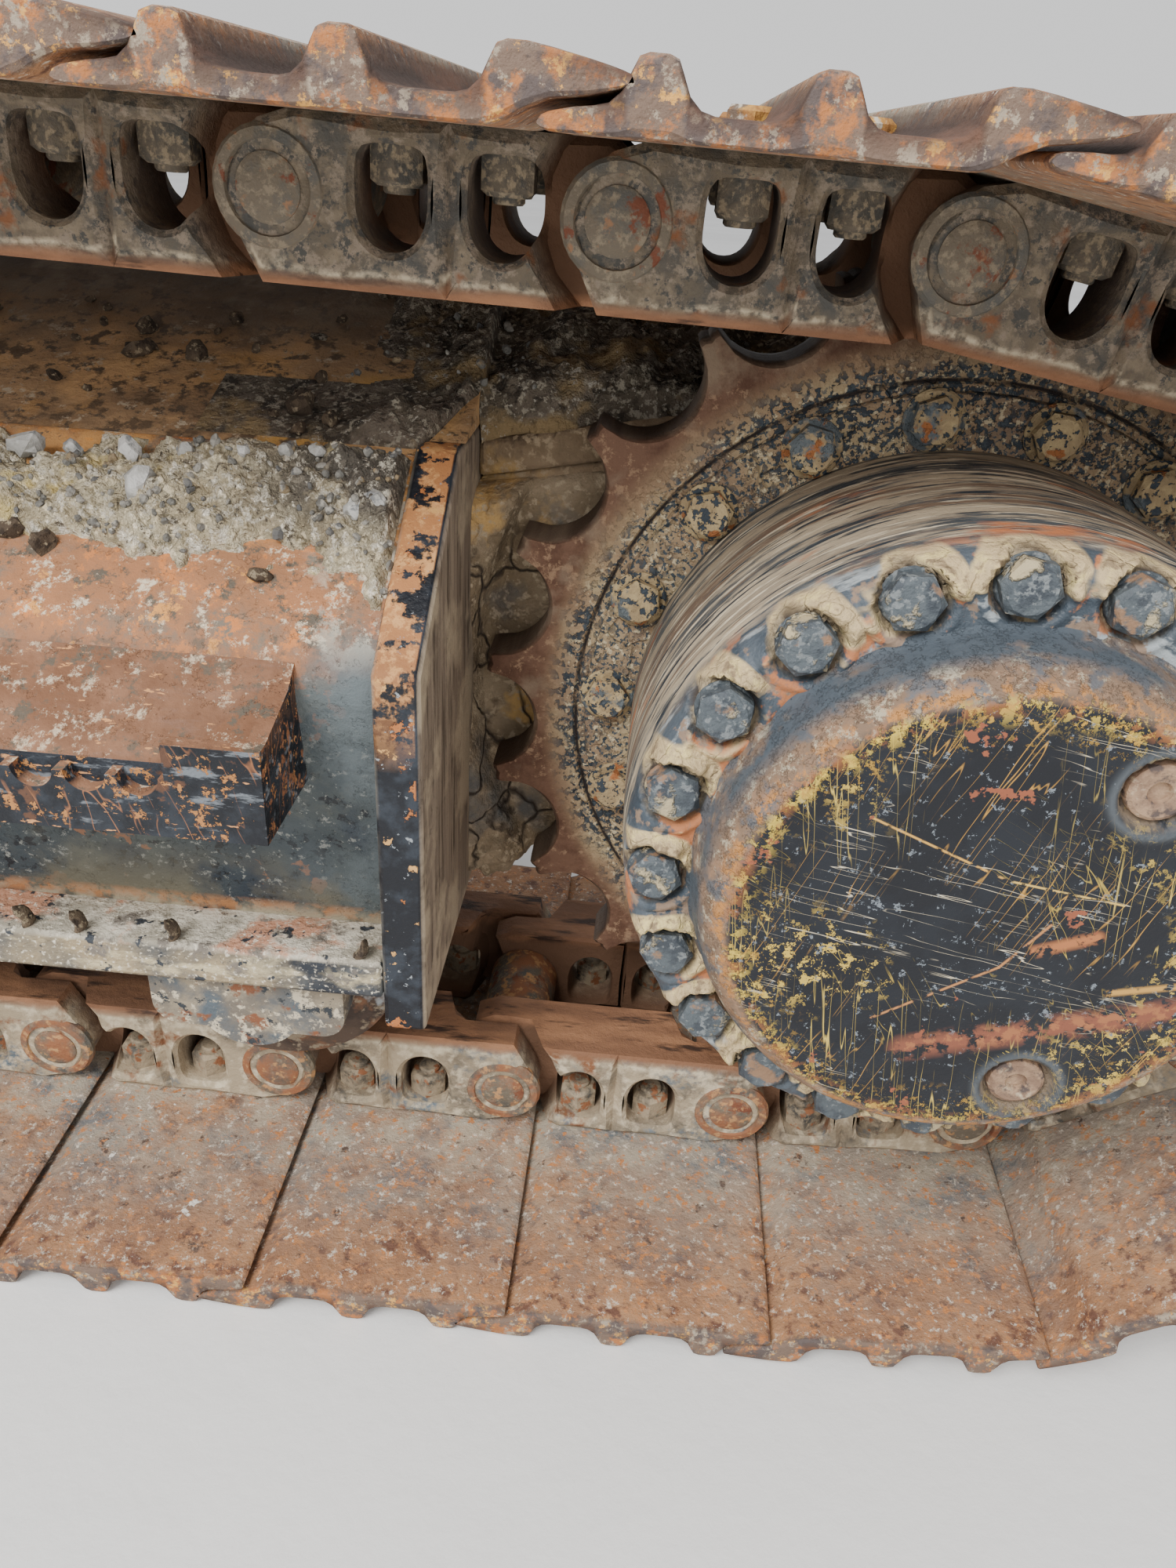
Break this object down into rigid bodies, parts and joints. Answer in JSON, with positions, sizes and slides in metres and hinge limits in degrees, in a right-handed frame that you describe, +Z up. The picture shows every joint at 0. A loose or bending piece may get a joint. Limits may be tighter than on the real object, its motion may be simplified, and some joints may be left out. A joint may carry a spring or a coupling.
{
  "type": "crawler track unit",
  "caption": "One side's crawler track unit of an excavator: side frame, final drive, sprocket, idler, rollers and a steel track with triple-grouser shoes.",
  "frame": {"origin": "on the ground, under the middle of the unit's box", "axes": "+X towards the drive end, +Y inboard towards the machine, +Z up"},
  "size_m": [4.7123, 0.639, 0.858],
  "materials": {
    "frame_paint": "worn dark paint with rust and dust",
    "clay_steel": "dark paint under dried clay",
    "step_paint": "chipped dark blue paint over rust",
    "motor_iron": "oily cast housing",
    "drum_iron": "worn dark paint with tan clay streaks",
    "cover_paint": "scratched dark blue paint",
    "plug_steel": "rusted plug",
    "sprocket_iron": "worn and rusted steel",
    "link_steel": "dusty forged steel",
    "pin_steel": "rusted steel",
    "shoe_steel": "rusted steel with dried mud",
    "roller_steel": "dusty steel",
    "collar_iron": "dusty cast steel",
    "idler_iron": "dusty cast steel, bright tread",
    "yoke_paint": "dusty dark paint",
    "spring_paint": "red paint"
  },
  "bodies": {
    "root": {"beam": "frame_paint", "rear_roof": "frame_paint", "foot_strips": "frame_paint", "end_plate": "frame_paint", "drive_plate": "clay_steel", "mud_hood": "clay_steel", "front_fork": "frame_paint", "front_plate": "frame_paint", "step_rear": "step_paint", "step_front": "step_paint", "saddle_rear": "frame_paint", "saddle_front": "frame_paint", "flange_rear": "frame_paint", "flange_front": "frame_paint", "spindle": "roller_steel", "travel_motor": "motor_iron", "motor_guard": "frame_paint", "drum": "drum_iron", "cover": "cover_paint", "cover_plugs": "plug_steel", "sprocket": "sprocket_iron", "link_row_outer": "link_steel", "link_row_inner": "link_steel", "bushings": "pin_steel", "shoes": "shoe_steel", "roller_1": "roller_steel", "roller_2": "roller_steel", "roller_3": "roller_steel", "roller_4": "roller_steel", "roller_5": "roller_steel", "roller_6": "roller_steel", "roller_7": "roller_steel", "roller_8": "roller_steel", "roller_shafts": "roller_steel", "collars_outer": "collar_iron", "collars_inner": "collar_iron", "carrier_rear_roller": "roller_steel", "carrier_front_roller": "roller_steel", "carrier_posts": "frame_paint", "chain_guards": "frame_paint", "recoil_spring": "spring_paint"},
    "idler_yoke": {"idler_shaft": "roller_steel", "idler_blocks": "collar_iron", "yoke": "yoke_paint"},
    "idler_wheel": {"idler": "idler_iron"}
  },
  "joints": [
    {"name": "idler_slide", "type": "slide", "parent": "root", "child": "idler_yoke", "axis": [1, 0, 0], "range_m": [0, 0.08]},
    {"name": "idler_turn", "type": "hinge", "parent": "idler_yoke", "child": "idler_wheel", "pos_m": [-1.93826, -0.0195, 0.428], "axis": [0, 1, 0], "continuous": true}
  ]
}
